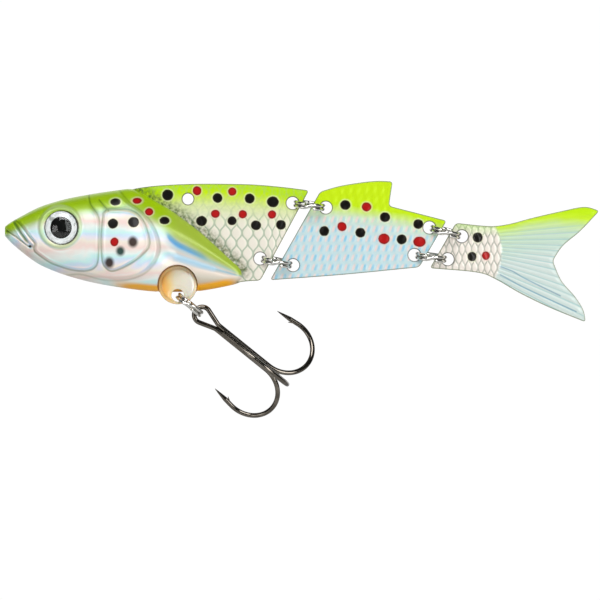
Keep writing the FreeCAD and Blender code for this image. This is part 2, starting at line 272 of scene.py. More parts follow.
def plate(outline, holes, half, edge, holeEdge, grain, relief=None):
    # flat plate with rounded edges. Each closed line is carried along a quarter circle, a wall and
    # another quarter circle; the two flats are triangles over a hexagonal grid of points, and
    # relief(x, z) lifts both of them.
    rings, start, places, constraint = [], 0, [], []
    lines = [(outline, edge, 1)] + [(hole, holeEdge, -1) for hole in holes]
    for line, radius, turn in lines:
        x, z = line[:, 0], line[:, 1]
        area = 0.5 * np.sum(x * np.roll(z, -1) - np.roll(x, -1) * z)
        if area * turn < 0:
            line = line[::-1]
        ahead = np.roll(line, -1, axis=0) - np.roll(line, 1, axis=0)
        ahead /= np.linalg.norm(ahead, axis=1)[:, None]
        inward = np.stack([-ahead[:, 1], ahead[:, 0]], axis=1)
        angle = np.radians([0, 22.5, 45, 67.5, 90])
        inset = radius * np.concatenate([1 - np.sin(angle), 1 - np.sin(angle[::-1])])
        level = (half - radius) * np.repeat([1, -1], 5)
        level = level + radius * np.concatenate([np.cos(angle), -np.cos(angle[::-1])])
        flat = line[None] + inset[:, None, None] * inward[None]
        height = np.broadcast_to(level[:, None], flat.shape[:2])
        points = np.stack([flat[..., 0], height, flat[..., 1]], axis=-1).reshape(-1, 3)
        rings.append((points, gridFaces(10, len(line), start=start)))
        top = start + np.arange(len(line))
        places.append((top, top + 9 * len(line)))
        constraint.append(flat[0])
        start += len(points)
    low, high = outline.min(axis=0), outline.max(axis=0)
    rise = grain * math.sqrt(3) / 2
    gx, gz = np.meshgrid(np.arange(low[0], high[0], grain), np.arange(low[1], high[1], rise))
    gx = gx + grain / 2 * (np.arange(len(gx)) % 2)[:, None]
    gx, gz = gx.ravel(), gz.ravel()
    room = insideBy(gx, gz, constraint[0])
    for hole in constraint[1:]:
        room = np.minimum(room, -insideBy(gx, gz, hole))
    inner = np.stack([gx, gz], axis=1)[room > grain * 0.6]
    flat = np.vstack(constraint + [inner])
    edges, count = [], 0
    for line in constraint:
        i = np.arange(len(line))
        edges += (np.stack([i, (i + 1) % len(line)], axis=1) + count).tolist()
        count += len(line)
    result = delaunay_2d_cdt([Vector(p) for p in flat.tolist()], edges, [], 1, 1e-5)
    triangles = np.array([o[0] for o in result[3]])[np.array(result[2])]
    middle = flat[triangles].mean(axis=1)
    for hole in constraint[1:]:
        outside = ~insideLine(middle[:, 0], middle[:, 1], hole)
        triangles, middle = triangles[outside], middle[outside]
    a, b, c = (flat[triangles[:, i]] for i in range(3))
    area = (b[:, 0] - a[:, 0]) * (c[:, 1] - a[:, 1]) - (b[:, 1] - a[:, 1]) * (c[:, 0] - a[:, 0])
    triangles[area < 0] = triangles[area < 0][:, ::-1]
    lift = np.zeros(len(inner))
    if relief:
        fade = ease(room[room > grain * 0.6], 0.1, 0.6)
        lift = relief(inner[:, 0], inner[:, 1]) * fade
    near = np.stack([inner[:, 0], -half - lift, inner[:, 1]], axis=1)
    far = near * [1, -1, 1]
    topNumbers = np.concatenate([p[0] for p in places] + [start + len(inner) + np.arange(len(inner))])
    lowNumbers = np.concatenate([p[1] for p in places] + [start + np.arange(len(inner))])
    points = np.vstack([r[0] for r in rings] + [near, far])
    faces = [np.concatenate([r[1] for r in rings]),
             np.concatenate([lowNumbers[triangles], topNumbers[triangles][:, ::-1]])]
    return points, faces


def circle(centre, radius, count=48):
    # closed circle in the mid-plane
    angle = np.arange(count) * 2 * math.pi / count
    return np.asarray(centre) + radius * np.stack([np.cos(angle), np.sin(angle)], axis=1)


def outlineOf(*runs, step=0.1, soften=11):
    # closed outline from runs of points, smooth where a run has three or more; a moving average
    # rounds the corners
    line = np.vstack([smoothRun(run)[:-1] if len(run) > 2 else np.asarray(run, float)[:1] for run in runs])
    line = evenRun(line, step, closed=True)
    shifts = range(-(soften // 2), soften // 2 + 1)
    return np.mean([np.roll(line, shift, axis=0) for shift in shifts], axis=0)


def toward(dip):
    # unit vector that dips below the tail direction
    return np.array([math.cos(math.radians(dip)), 0, -math.sin(math.radians(dip))])


def beside(centre, dip, distance):
    return np.asarray(centre) + toward(dip)[[0, 2]] * distance


def spotGap(x, z, spots):
    # signed distance to the nearest of several ellipses (x, z, half width, half height)
    gaps = [(np.hypot((x - sx) / rx, (z - sz) / rz) - 1) * min(rx, rz) for sx, sz, rx, rz in spots]
    return np.min(gaps, axis=0)


# metals

def metal(name, look):
    # plated wire: fine drawing marks and a faint cloudiness break up the reflections
    material, add, place = newMaterial(name)
    cloud = add("TexNoise", {"Vector": place, "Scale": look["cloudScale"], "Detail": 3.0})
    drawn = add("TexNoise", {"Vector": place, "Scale": look["grainScale"], "Detail": 5.0})
    colour = add("ValToRGB", {0: cloud}, stops=[(0.3, look["dark"]), (0.7, look["light"])])
    rough = add("MapRange", {0: drawn, 3: look["rough"][0], 4: look["rough"][1]})
    dents = add("Bump", {"Height": drawn, "Strength": look["bump"], "Distance": 0.00004})
    return finish(material, add, Base_Color=colour, Metallic=1.0, Roughness=rough, Normal=dents)


# bright nickel plate on spring wire: near white with hard dark reflections
brightNickel = metal("bright_nickel_plate", {
    "dark": "#CFCDC8", "light": "#EFEDE8", "rough": (0.08, 0.18), "bump": 0.03,
    "cloudScale": 900.0, "grainScale": 6000.0})
# black nickel plate on hook wire: smoky grey brown that goes almost black beside its highlights
blackNickel = metal("black_nickel_plate", {
    "dark": "#5C5750", "light": "#837C73", "rough": (0.06, 0.14), "bump": 0.04,
    "cloudScale": 700.0, "grainScale": 5000.0})
# braze that has run between the shanks: duller and grainy
brazeMetal = metal("plated_braze", {
    "dark": "#57524A", "light": "#837D72", "rough": (0.14, 0.3), "bump": 0.2,
    "cloudScale": 2500.0, "grainScale": 7000.0})
# turned steel of the ballast slug: plain grey, out of sight in the head
ballastSteel = metal("turned_steel", {
    "dark": "#77777A", "light": "#96969A", "rough": (0.3, 0.45), "bump": 0.4,
    "cloudScale": 600.0, "grainScale": 4000.0})
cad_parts["treble_braze"].data.materials[0] = brazeMetal
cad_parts["keel_weight"].data.materials[0] = ballastSteel
print("metals")


# split rings

splitRing = {"wire": 0.55, "radius": 2.2, "tilt": 5.0, "joggle": 0.42, "gap": 0.3, "sides": 20,
             "steps": 260}


def ringPath(centre, dip, tilt):
    # two coils of a circle, side by side; the wire steps over from one to the other where its
    # ends meet, on the near side
    angle = np.linspace(splitRing["gap"], 4 * math.pi - splitRing["gap"], splitRing["steps"])
    over = ease(angle, 2 * math.pi - splitRing["joggle"], 2 * math.pi + splitRing["joggle"]) - 0.5
    ahead = toward(dip)
    square = np.array([math.sin(math.radians(dip)), 0, math.cos(math.radians(dip))])
    c, s = math.cos(math.radians(tilt)), math.sin(math.radians(tilt))
    across = np.array([0, c, 0]) + square * s
    axis = square * c - np.array([0, s, 0])
    turn = angle - math.pi / 2
    path = splitRing["radius"] * (np.cos(turn)[:, None] * ahead + np.sin(turn)[:, None] * across)
    path = path + over[:, None] * splitRing["wire"] * axis
    return path + np.array([centre[0], 0, centre[1]]), axis


def belowHinge(centre, distance, lean=30.0):
    return (centre[0] - distance * math.sin(math.radians(lean)),
            centre[1] - distance * math.cos(math.radians(lean)))


holeGap = 2.55
joints = {"front_upper": ((18.4, -0.96), 7.7), "rear_upper": ((39.1, -4.99), 15.0)}
joints["front_lower"] = (belowHinge(joints["front_upper"][0], 9.9), 11.5)
joints["rear_lower"] = (belowHinge(joints["rear_upper"][0], 4.42), 7.3)
hanger = {"centre": (-1.55, -13.06), "radius": 2.93, "half": 1.15, "hole": (-1.55, -14.62),
          "holeRadius": 0.95, "pocketRadius": 3.05, "pocketHalf": 0.85, "dip": 38.9,
          "face": 2.4, "rise": 0.12, "edge": 0.22, "holeEdge": 0.1, "grain": 0.14}
for name, (centre, dip) in joints.items():
    path, axis = ringPath(centre, dip, splitRing["tilt"])
    makePiece("split_" + name, *tube(path, splitRing["wire"] / 2, axis, splitRing["sides"]),
              brightNickel, name + "_ring", "bright_nickel", [name + "_ring"])
hookRingAt = beside(hanger["hole"], hanger["dip"], 2.3)
path, axis = ringPath(hookRingAt, hanger["dip"], 0.0)
makePiece("split_hook", *tube(path, splitRing["wire"] / 2, axis, splitRing["sides"]),
          brightNickel, "hook_ring", "bright_nickel", ["hook_ring"])
print("split rings")


# treble hook

treble = {"wire": 0.75, "shank": 9.6, "bend": 4.45, "over": 8.0, "tipBack": 5.4, "point": 2.3,
          "singleBack": 0.55, "loop": 1.225, "flare": 18.0, "flareRadius": 1.5, "seat": 3.35,
          "pairGap": 0.36, "pairSide": 0.24, "singleSide": -0.49, "step": 0.16}
shankWay = toward(hanger["dip"])
shankUp = np.array([math.sin(math.radians(hanger["dip"])), 0, math.cos(math.radians(hanger["dip"]))])
throatAt = beside(hookRingAt, hanger["dip"], splitRing["radius"] + treble["seat"])
throat = np.array([throatAt[0], 0, throatAt[1]])
sideWay = np.array([0, 1.0, 0])


def legEnds():
    # (s, r) of the bend's end and of the tip: the bend goes a little past a half circle, and the
    # leg runs straight on from it
    over = math.radians(treble["over"])
    bend = treble["bend"]
    end = np.array([treble["shank"] - bend * math.sin(over), bend * (1 + math.cos(over))])
    length = (end[0] - treble["tipBack"]) / math.cos(over)
    return end, end - length * np.array([math.cos(over), math.sin(over)])


def hookRun(start, out, fromS):
    # shank, arc and leg of one hook: s runs along the shank, r away from it
    turn = np.linspace(0, math.pi + math.radians(treble["over"]), 60)
    end, tip = legEnds()
    s = np.concatenate([np.linspace(fromS, treble["shank"], 50)[:-1],
                        treble["shank"] + treble["bend"] * np.sin(turn),
                        np.linspace(end[0], tip[0], 40)[1:]])
    r = np.concatenate([np.zeros(49), treble["bend"] * (1 - np.cos(turn)),
                        np.linspace(end[1], tip[1], 40)[1:]])
    return start + s[:, None] * shankWay + r[:, None] * out


def groundPoint(path):
    # wire radius along a path whose last stretch is ground to a point, a little hollow
    left = np.linalg.norm(path - path[-1], axis=1)
    share = np.clip(left / treble["point"], 0, 1)
    share[:len(path) // 2] = 1
    return treble["wire"] / 2 * (0.07 + 0.93 * share ** 0.85)


def barb(start, out):
    # small sliver cut up from the inner side of the point
    end, tip = legEnds()
    leg = (tip - end) / np.linalg.norm(tip - end)
    inner = np.array([-leg[1], leg[0]])
    foot = tip - (treble["point"] + 0.9) * leg + 0.1 * inner
    way = 0.85 * leg + 0.53 * inner
    foot = start + foot[0] * shankWay + foot[1] * out
    way = way[0] * shankWay + way[1] * out
    s = np.linspace(0, 1.1, 8)
    return tube(foot + s[:, None] * way, 0.2 - 0.165 * s / 1.1, sideWay + shankUp * 0.3, 12)


def eyeRun():
    # half of the treble's eye: a flare arc, a straight run and a loop arc up to its far end
    flare = math.radians(treble["flare"])
    rise = (treble["loop"] * math.cos(flare) - treble["pairGap"]
            - treble["flareRadius"] * (1 - math.cos(flare)))
    loopS = (treble["flareRadius"] + treble["loop"]) * math.sin(flare) + rise / math.tan(flare)
    a = np.linspace(0, flare, 8)
    b = np.linspace(math.pi / 2 + flare, 0, 50)
    s = np.concatenate([treble["flareRadius"] * np.sin(a), loopS + treble["loop"] * np.cos(b)])
    t = np.concatenate([treble["pairGap"] + treble["flareRadius"] * (1 - np.cos(a)),
                        treble["loop"] * np.sin(b)])
    run = np.stack([s, t], axis=1)
    return evenRun(run, treble["step"])


pairStart = throat + treble["pairSide"] * sideWay
outs = [-math.cos(math.radians(a)) * sideWay + math.sin(math.radians(a)) * shankUp for a in (120, -120, 0)]
halves = []
for out, way in zip(outs[:2], (1, -1)):
    shankRun = hookRun(pairStart + way * treble["pairGap"] * shankUp, out, 0)
    half = eyeRun()
    eye = pairStart - half[::-1, :1] * shankWay + way * half[::-1, 1:] * shankUp
    path = np.vstack([eye, shankRun[1:]])
    halves.append((path, groundPoint(path)))
wholePath = np.vstack([halves[1][0][::-1], halves[0][0][1:]])
wholeRadius = np.concatenate([halves[1][1][::-1], halves[0][1][1:]])
doubleWire = joined(tube(wholePath, wholeRadius, sideWay, 20),
                    *[barb(pairStart + way * treble["pairGap"] * shankUp, out)
                      for out, way in zip(outs[:2], (1, -1))])
makePiece("treble_double", *doubleWire, blackNickel, "treble", "black_nickel", ["treble_double_wire"])
singleStart = throat + treble["singleSide"] * sideWay - treble["singleBack"] * shankWay
path = hookRun(singleStart, outs[2], 1.0 + treble["singleBack"])
singleWire = joined(tube(path, groundPoint(path), shankUp, 20), barb(singleStart, outs[2]))
makePiece("treble_single", *singleWire, blackNickel, "treble", "black_nickel", ["treble_single_wire"])
print("treble hook")


# hook hanger

def softPlastic(name, look):
    # moulded pearl: light sinks in a little, and fine mica flakes shift its tint
    material, add, place = newMaterial(name)
    cloud = add("TexNoise", {"Vector": place, "Scale": 260.0, "Detail": 3.0})
    flakes = add("TexVoronoi", {"Vector": place, "Scale": 5200.0})
    parts = add("SeparateXYZ", {0: place})
    across = add("MapRange", {0: parts.outputs["X"], 1: look["from"] * mm, 2: look["to"] * mm})
    mixed = add("Math", {0: cloud, 1: 0.35, 2: across}, operation="MULTIPLY_ADD")
    body = add("ValToRGB", {0: mixed}, stops=look["stops"])
    # the step colour is painted shade at the edge of the raised face
    rim, step = (add("Math", {0: field(add, name), 1: share}, operation="MULTIPLY")
                 for name, share in (("rim", 0.6), ("step", 0.55)))
    stepped = painted(add, body, (flakes.outputs["Color"], 0.05, "SOFT_LIGHT"), (look["rim"], rim),
                      (look["step"], step))
    bumps = add("Bump", {"Height": cloud, "Strength": 0.2, "Distance": 0.0001})
    return finish(material, add, Base_Color=stepped, Roughness=0.22, Subsurface_Weight=0.25,
                  Subsurface_Scale=0.0006, Coat_Weight=0.5, Coat_Roughness=0.06, Normal=bumps)


# pearl plastic of the hanger: milky cream, warmer where belly orange has caught its front edge; the brown
# step colour is painted shade where the raised face meets the rim
pearlPlastic = softPlastic("pearl_plastic", {
    "from": -4.1, "to": 1.5, "rim": "#E4CC98", "step": "#B08C52",
    "stops": [(0.22, "#EDA93E"), (0.4, "#EECB88"), (0.58, "#E3D8BC"), (1.0, "#DFDDD2")]})


def raisedFace(x, z):
    # the middle of the disc stands a little proud of its rim
    away = np.hypot(x - hanger["centre"][0], z - hanger["centre"][1])
    return hanger["rise"] * (1 - ease(away, hanger["face"] - 0.1, hanger["face"] + 0.15))


disc = plate(circle(hanger["centre"], hanger["radius"], 160),
             [circle(hanger["hole"], hanger["holeRadius"], 72)],
             hanger["half"], hanger["edge"], hanger["holeEdge"], hanger["grain"], raisedFace)
away = np.hypot(disc[0][:, 0] - hanger["centre"][0], disc[0][:, 2] - hanger["centre"][1])
# the step field marks painted shade: a brown line at the edge of the raised face, on the side towards the
# nose
makePiece("hook_hanger_disc", *disc, pearlPlastic, "head", "pearl_hanger", ["hook_hanger"],
          {"rim": ease(away, hanger["face"], hanger["face"] + 0.2),
           "step": np.exp(-((away - hanger["face"] - 0.05) / 0.1) ** 2) * (disc[0][:, 0] < 0.2)})
print("hook hanger")


# eyes

eye = {"x": -18.96, "z": -4.4, "out": 4.05, "radius": 2.5, "turn": 11.0, "pupil": 1.56, "rise": 1.1,
       "seat": 2.53}


def eyeFoilMaterial():
    # crinkled silver foil with a printed pupil: the silver, white going grey in the crinkles, is a painted
    # reflection, and the foil glows faintly as painted light
    material, add, place = newMaterial("silver_eye_foil")
    away = field(add, "away")
    crease = add("TexNoise", {"Vector": place, "Scale": 900.0, "Detail": 4.0, "Distortion": 0.4})
    silver = add("ValToRGB", {0: crease}, stops=[(0.34, "#B4B6B2"), (0.46, "#FFFFFF")])
    wobble = add("Math", {0: crease, 1: 0.1, 2: away}, operation="MULTIPLY_ADD")
    inPupil = add("MapRange", {0: wobble, 1: eye["pupil"] + 0.08, 2: eye["pupil"] + 0.02})
    inRim = add("MapRange", {0: away, 1: eye["radius"] - 0.14, 2: eye["radius"] - 0.06})
    printed = painted(add, silver, ("#35342F", inRim), ("#080706", inPupil))
    bumps = add("Bump", {"Height": crease, "Strength": 0.5, "Distance": 0.0001})
    # emission lets the foil glow a little: painted light
    return finish(material, add, Base_Color=printed, Metallic=0.0, Roughness=0.4, Specular_IOR_Level=0.1,
                  Emission_Color=printed, Emission_Strength=0.35, Normal=bumps)


def resinMaterial():
    # clear cast resin: the wet glint of the eye, with the faintest dust on it
    material, add, place = newMaterial("clear_eye_resin")
    dust = add("TexNoise", {"Vector": place, "Scale": 1500.0, "Detail": 2.0})
    rough = add("MapRange", {0: dust, 3: 0.0, 4: 0.05})
    return finish(material, add, Base_Color="#F7FAFA", Transmission_Weight=1.0, Roughness=rough, IOR=1.5)


eyeFoil = eyeFoilMaterial()
eyeResin = resinMaterial()
for side, label in ((-1, "left"), (1, "right")):
    look = np.array([-math.sin(math.radians(eye["turn"])), side * math.cos(math.radians(eye["turn"])), 0])
    back = np.array([eye["x"], side * eye["out"], eye["z"]])
    r = eye["radius"]
    radii = np.linspace(0, r - 0.02, 22)
    face = [(0, 0.0), (r - 0.02, 0.0)] + [(q, 0.2) for q in radii[::-1]]
    points, faces = turned(face, back, look)
    away = np.linalg.norm(np.cross(points - back, look), axis=1)
    makePiece("eye_foil_disc_" + label, points, faces, eyeFoil, "head", "eye_foil",
              ["eye_foil_" + label], {"away": away})
    # dome: a flat back, a short wall and a cap of the sphere that passes the rim and the crown
    cap = eye["rise"] - 0.3
    ball = (r ** 2 + cap ** 2) / (2 * cap)
    q = np.linspace(0, r - 0.02, 26)
    dome = [(0, 0.21), (r - 0.02, 0.21)] + [(a, 0.2 + 0.3 + cap - ball + math.sqrt(ball ** 2 - a ** 2))
                                            for a in q[::-1]]
    makePiece("eye_dome_" + label, *turned(dome, back, look), eyeResin, "head", "eye_resin",
              ["eye_lens_" + label])
print("eyes")


# blades

def spotted(add, colour, place):
    # sprayed dots: black ones and red ones, with soft edges and a thin pale halo round them
    grain = add("TexNoise", {"Vector": place, "Scale": 1600.0, "Detail": 3.0})
    for name, ink, rim, halo in (("blackSpot", "#080602", "#221C0E", "#E9EBC9"),
                                 ("redSpot", "#B41111", "#8C1414", "#F4D0C0")):
        gap = field(add, name)
        soft = add("Math", {0: grain, 1: 0.16, 2: gap}, operation="MULTIPLY_ADD")
        glow = add("MapRange", {0: soft, 1: 0.4, 2: 0.08, 4: 0.5}, **smooth)
        outer = add("MapRange", {0: soft, 1: 0.14, 2: 0.02}, **smooth)
        inner = add("MapRange", {0: soft, 1: -0.02, 2: -0.2}, **smooth)
        colour = painted(add, colour, (halo, glow), (rim, outer), (ink, inner))
    return colour


def coated(material, add, colour, place, height, look):
    # printed paint under clear coat: satin foil glow below, wet gloss above. A dark line along the outline
    # and round the holes is painted shade of the plate's edges
    outlined = painted(add, spotted(add, colour, place),
                       (look["rim"], field(add, "edge", 0.04, 0.2, (0.9, 0.0))),
                       ("#4C4A3E", field(add, "bore", 0.06, 0.2, (0.9, 0.0))))
    bumps = add("Bump", {"Height": height, "Strength": look["bump"], "Distance": 0.0001})
    orange = add("TexNoise", {"Vector": place, "Scale": 420.0, "Detail": 2.0})
    film = add("Bump", {"Height": orange, "Strength": 0.1, "Distance": 0.0001})
    return finish(material, add, Base_Color=outlined, Roughness=look["rough"], Metallic=look["foil"],
                  Normal=bumps, Specular_IOR_Level=0.25, Coat_Weight=look["coat"], Coat_Roughness=0.09,
                  Coat_Normal=film)


def ogee(add, widths):
    # scale outline: two families of waves that touch and part; a point's distance, in pitches,
    # to the nearer one
    one = add("Math", {0: field(add, "latticeOne"), 1: 0.5}, operation="PINGPONG")
    two = add("Math", {0: field(add, "latticeTwo"), 1: 0.5}, operation="PINGPONG")
    near = add("Math", {0: one, 1: two}, operation="MINIMUM")
    line = add("MapRange", {0: near, 1: widths[1], 2: widths[0]}, **smooth)
    return near, line


def lattice(x, z, columns, row, top):
    # columns gives pitches as (x, count) knots; rows wave with a flattened cosine of z
    a = np.interp(x, *zip(*columns))
    c = np.cos(math.pi * (z - top) / row)
    wave = 0.25 * c * (1.12 - 0.12 * c * c)
    return a - wave, a + wave + 0.5


def scaleHeight(one, two):
    # each scale is a low dome between its outlines
    near = np.minimum(np.abs(one - np.round(one)), np.abs(two - np.round(two)))
    return ease(near, 0.0, 0.24)


blade = {"half": 0.5, "edge": 0.12, "holeEdge": 0.1, "grain": 0.14, "holeSides": 40}


def makeBlade(name, shape, material, extra, relief):
    holes = [circle(place, radius, blade["holeSides"]) for place, radius in shape["holes"]]
    points, faces = plate(shape["outline"], holes, blade["half"], blade["edge"], blade["holeEdge"],
                          blade["grain"], relief)
    x, z = points[:, 0], points[:, 2]
    bore = np.min([-insideBy(x, z, hole) for hole in holes], axis=0)
    fields = {"down": np.interp(x, *zip(*shape["paint"])) - z,
              "edge": insideBy(x, z, shape["outline"]), "bore": bore,
              "blackSpot": spotGap(x, z, shape["black"]), "redSpot": spotGap(x, z, shape["red"])}
    fields.update(extra(x, z))
    return makePiece(name, points, faces, material, shape["body"], "painted_blade", [shape["node"]], fields)


def ringHoles(*places):
    return [(tuple(beside(centre, dip, holeGap * way)), 0.93)
            for (centre, dip), way in ((joints[joint], way) for joint, way in places)]


front = {
    "body": "head", "node": "front_blade",
    "outline": outlineOf(
        [(-9.6, 1.0), (-8.6, 1.42), (-7.3, 1.7), (-4.4, 2.04), (0.2, 2.27), (4.9, 2.3), (10.0, 2.18),
         (14.6, 1.78), (18.35, 1.3)],
        [(18.35, 1.3), (10.97, -12.38)],
        [(10.97, -12.38), (8.6, -12.52), (5.4, -13.06), (2.6, -13.56)],
        [(2.6, -13.56), (2.6, -10.2)], [(2.6, -10.2), (0.95, -9.14)], [(0.95, -9.14), (0.95, -7.6)],
        [(0.95, -7.6), (-8.2, -5.6)], [(-8.2, -5.6), (-8.2, 0.2)], [(-8.2, 0.2), (-9.6, 0.4)],
        [(-9.6, 0.4), (-9.6, 1.0)]),
    "holes": [((0.0, 0.0), 0.84)] + ringHoles(("front_upper", -1), ("front_lower", -1)),
    "paint": [(-9, 0.4), (0, 0.75), (6, 0.6), (12, 0.2), (18.3, -0.7)],
    "black": [(-3.08, 0.61, 0.85, 0.85), (4.49, 0.14, 0.76, 0.74), (9.37, 0.06, 0.76, 0.76),
              (12.89, -0.44, 0.9, 0.84), (2.06, -3.34, 0.83, 0.78), (6.69, -3.31, 0.7, 0.68),
              (10.32, -4.0, 0.78, 0.74), (14.1, -3.92, 0.76, 0.75)],
    "red": [(1.38, 1.24, 0.65, 0.7), (6.72, 1.12, 0.64, 0.64), (4.17, -2.26, 0.68, 0.64),
            (8.32, -2.32, 0.65, 0.63), (12.75, -2.37, 0.65, 0.65)],
    "columns": [(-9.0, -10.0), (8.2, 0.25), (9.9, 1.25), (11.55, 2.25), (12.78, 3.25), (13.89, 4.25),
                (19.4, 9.25)],
    "row": 1.57, "rowAt": -5.15}


def frontFields(x, z):
    one, two = lattice(x, z, front["columns"], front["row"], front["rowAt"])
    shade = lineDistance(x, z, headTop)
    return {"latticeOne": one, "latticeTwo": two, "shade": shade}


def frontRelief(x, z):
    one, two = lattice(x, z, front["columns"], front["row"], front["rowAt"])
    return 0.05 * scaleHeight(one, two) * ease(-z, 1.0, 4.5)


def frontMaterial():
    # chartreuse back over cream pearl scales: each scale drawn with a thin grey-green line
    material, add, place = newMaterial("front_scale_paint")
    height = add("SeparateXYZ", {0: place}).outputs["Z"]
    cloud = add("TexNoise", {"Vector": place, "Scale": 350.0, "Detail": 4.0})
    fine = add("TexNoise", {"Vector": place, "Scale": 2000.0, "Detail": 4.0})
    down = add("Math", {0: cloud, 1: 1.1, 2: field(add, "down")}, operation="MULTIPLY_ADD")
    level = add("MapRange", {0: down, 1: -1.5, 2: 7.5})
    base = add("ValToRGB", {0: level}, stops=[
        (0.12, "#B8E400"), (0.2, "#C4E800"), (0.29, "#D0E85A"), (0.42, "#DCE6A8"), (0.6, "#DFE4C2"),
        (0.78, "#E5E4D2"), (1.0, "#E6E3D4")])
    near, line = ogee(add, (0.045, 0.12))
    centre = add("MapRange", {0: near, 1: 0.08, 2: 0.24}, **smooth)
    low = add("MapRange", {0: height, 1: -1.2 * mm, 2: -4.2 * mm}, **smooth)
    mottle = add("MapRange", {0: fine, 1: 0.42, 2: 0.62, 4: 0.2})
    # painted highlight: the middle of each raised scale low on the blade is lightened towards cream
    blush = add("Math", {0: centre, 1: low}, operation="MULTIPLY")
    lit = add("Math", {0: blush, 1: 0.55}, operation="MULTIPLY")
    strength = add("MapRange", {0: low, 3: 0.16, 4: 0.8})
    drawn = add("Math", {0: line, 1: strength}, operation="MULTIPLY")
    speckle = add("MapRange", {0: fine, 1: 0.36, 2: 0.62, 3: 0.35, 4: 1.2})
    shadow = add("Math", {0: field(add, "shade", 0.1, 2.1, (0.75, 0.0)), 1: speckle},
                     operation="MULTIPLY", use_clamp=True)
    shaded = painted(add, base, ("#9FBE86", mottle), (base, low), ("#EFE6DA", lit), ("#A3B39C", drawn),
                     ("#62733C", shadow, "MULTIPLY"))
    return coated(material, add, shaded, place, near, {
        "rim": "#5F6C34", "bump": 0.4, "rough": 0.36, "foil": 0.1, "coat": 0.3})


mid = {
    "body": "mid", "node": "mid_blade",
    "outline": outlineOf(
        [(20.05, 1.12), (23.07, 1.97), (26.4, 2.52), (28.9, 2.74), (31.08, 2.64)],
        [(31.08, 2.64), (30.86, 1.37), (30.5, -1.05)], [(30.5, -1.05), (39.25, -3.3)],
        [(39.25, -3.3), (35.1, -10.36)], [(35.1, -10.36), (23.4, -11.5), (12.45, -12.32)],
        [(12.45, -12.32), (20.05, 1.12)]),
    "holes": ringHoles(("front_upper", 1), ("front_lower", 1), ("rear_upper", -1), ("rear_lower", -1)),
    "paint": [(19.5, -0.7), (24, -1.0), (29.6, -1.7), (34, -2.7), (39, -3.9)],
    "black": [(23.89, -0.91, 0.8, 0.76), (29.89, -2.76, 0.79, 0.76), (34.94, -3.81, 0.76, 0.74),
              (20.67, -4.87, 0.76, 0.76), (26.16, -5.12, 0.76, 0.76), (32.44, -6.13, 0.77, 0.76)],
    "red": [(27.1, -1.2, 0.73, 0.7), (23.36, -4.2, 0.71, 0.71), (29.74, -6.04, 0.86, 0.82),
            (35.13, -6.5, 0.95, 0.8)],
    "pitch": 1.23, "row": 1.46, "rowAt": -6.0, "lean": 0.32}


def midFields(x, z):
    # staggered rows of short leaning flashes: product of a cosine across and a cosine down
    u = (x - mid["lean"] * z) / mid["pitch"]
    v = (z - mid["rowAt"]) / mid["row"]
    return {"flash": np.cos(2 * math.pi * u) * np.cos(math.pi * v),
            "blush": np.cos(2 * math.pi * (u + 0.36)) * np.cos(math.pi * v),
            "low": ease(-z - 0.12 * (x - 20), 2.0, 5.5)}


def midRelief(x, z):
    return 0.03 * midFields(x, z)["flash"]


def midMaterial():
    # chartreuse back and fin over pale blue foil: rows of cyan and pink flashes for scales
    material, add, place = newMaterial("mid_foil_paint")
    cloud = add("TexNoise", {"Vector": place, "Scale": 300.0, "Detail": 4.0})
    streak = add("TexNoise", {"Vector": add("Mapping", {0: place, "Scale": (3.0, 1.0, 0.8)}),
                                        "Scale": 700.0, "Detail": 3.0})
    down = add("Math", {0: cloud, 1: 0.9, 2: field(add, "down")}, operation="MULTIPLY_ADD")
    level = add("MapRange", {0: down, 1: -1.5, 2: 5.0})
    base = add("ValToRGB", {0: level}, stops=[
        (0.1, "#C8EC10"), (0.28, "#C6EC14"), (0.4, "#CCE878"), (0.54, "#CFE4C0"), (0.7, "#CBE0DA"),
        (1.0, "#C6DEE2")])
    low = field(add, "low")
    blue = field(add, "flash", 0.12, 0.75)
    soft = add("MapRange", {0: streak, 1: 0.38, 2: 0.64, 3: 0.35, 4: 1.0})
    amount = add("MapRange", {0: low, 3: 0.4, 4: 1.0})
    blueShare = add("Math", {0: blue, 1: soft}, operation="MULTIPLY")
    blueAmount = add("Math", {0: blueShare, 1: amount}, operation="MULTIPLY")
    pale = add("MapRange", {0: level, 1: 0.42, 2: 0.6})
    blueGated = add("Math", {0: blueAmount, 1: pale}, operation="MULTIPLY")
    pink = field(add, "blush", 0.15, 0.8, (0.0, 0.8))
    pinkShare = add("Math", {0: pink, 1: pale}, operation="MULTIPLY")
    flashed = painted(add, base, ("#F2DCD6", pinkShare), ("#8ECDE8", blueGated))
    return coated(material, add, flashed, place, streak, {
        "rim": "#68775A", "bump": 0.25, "rough": 0.32, "foil": 0.12, "coat": 0.3})


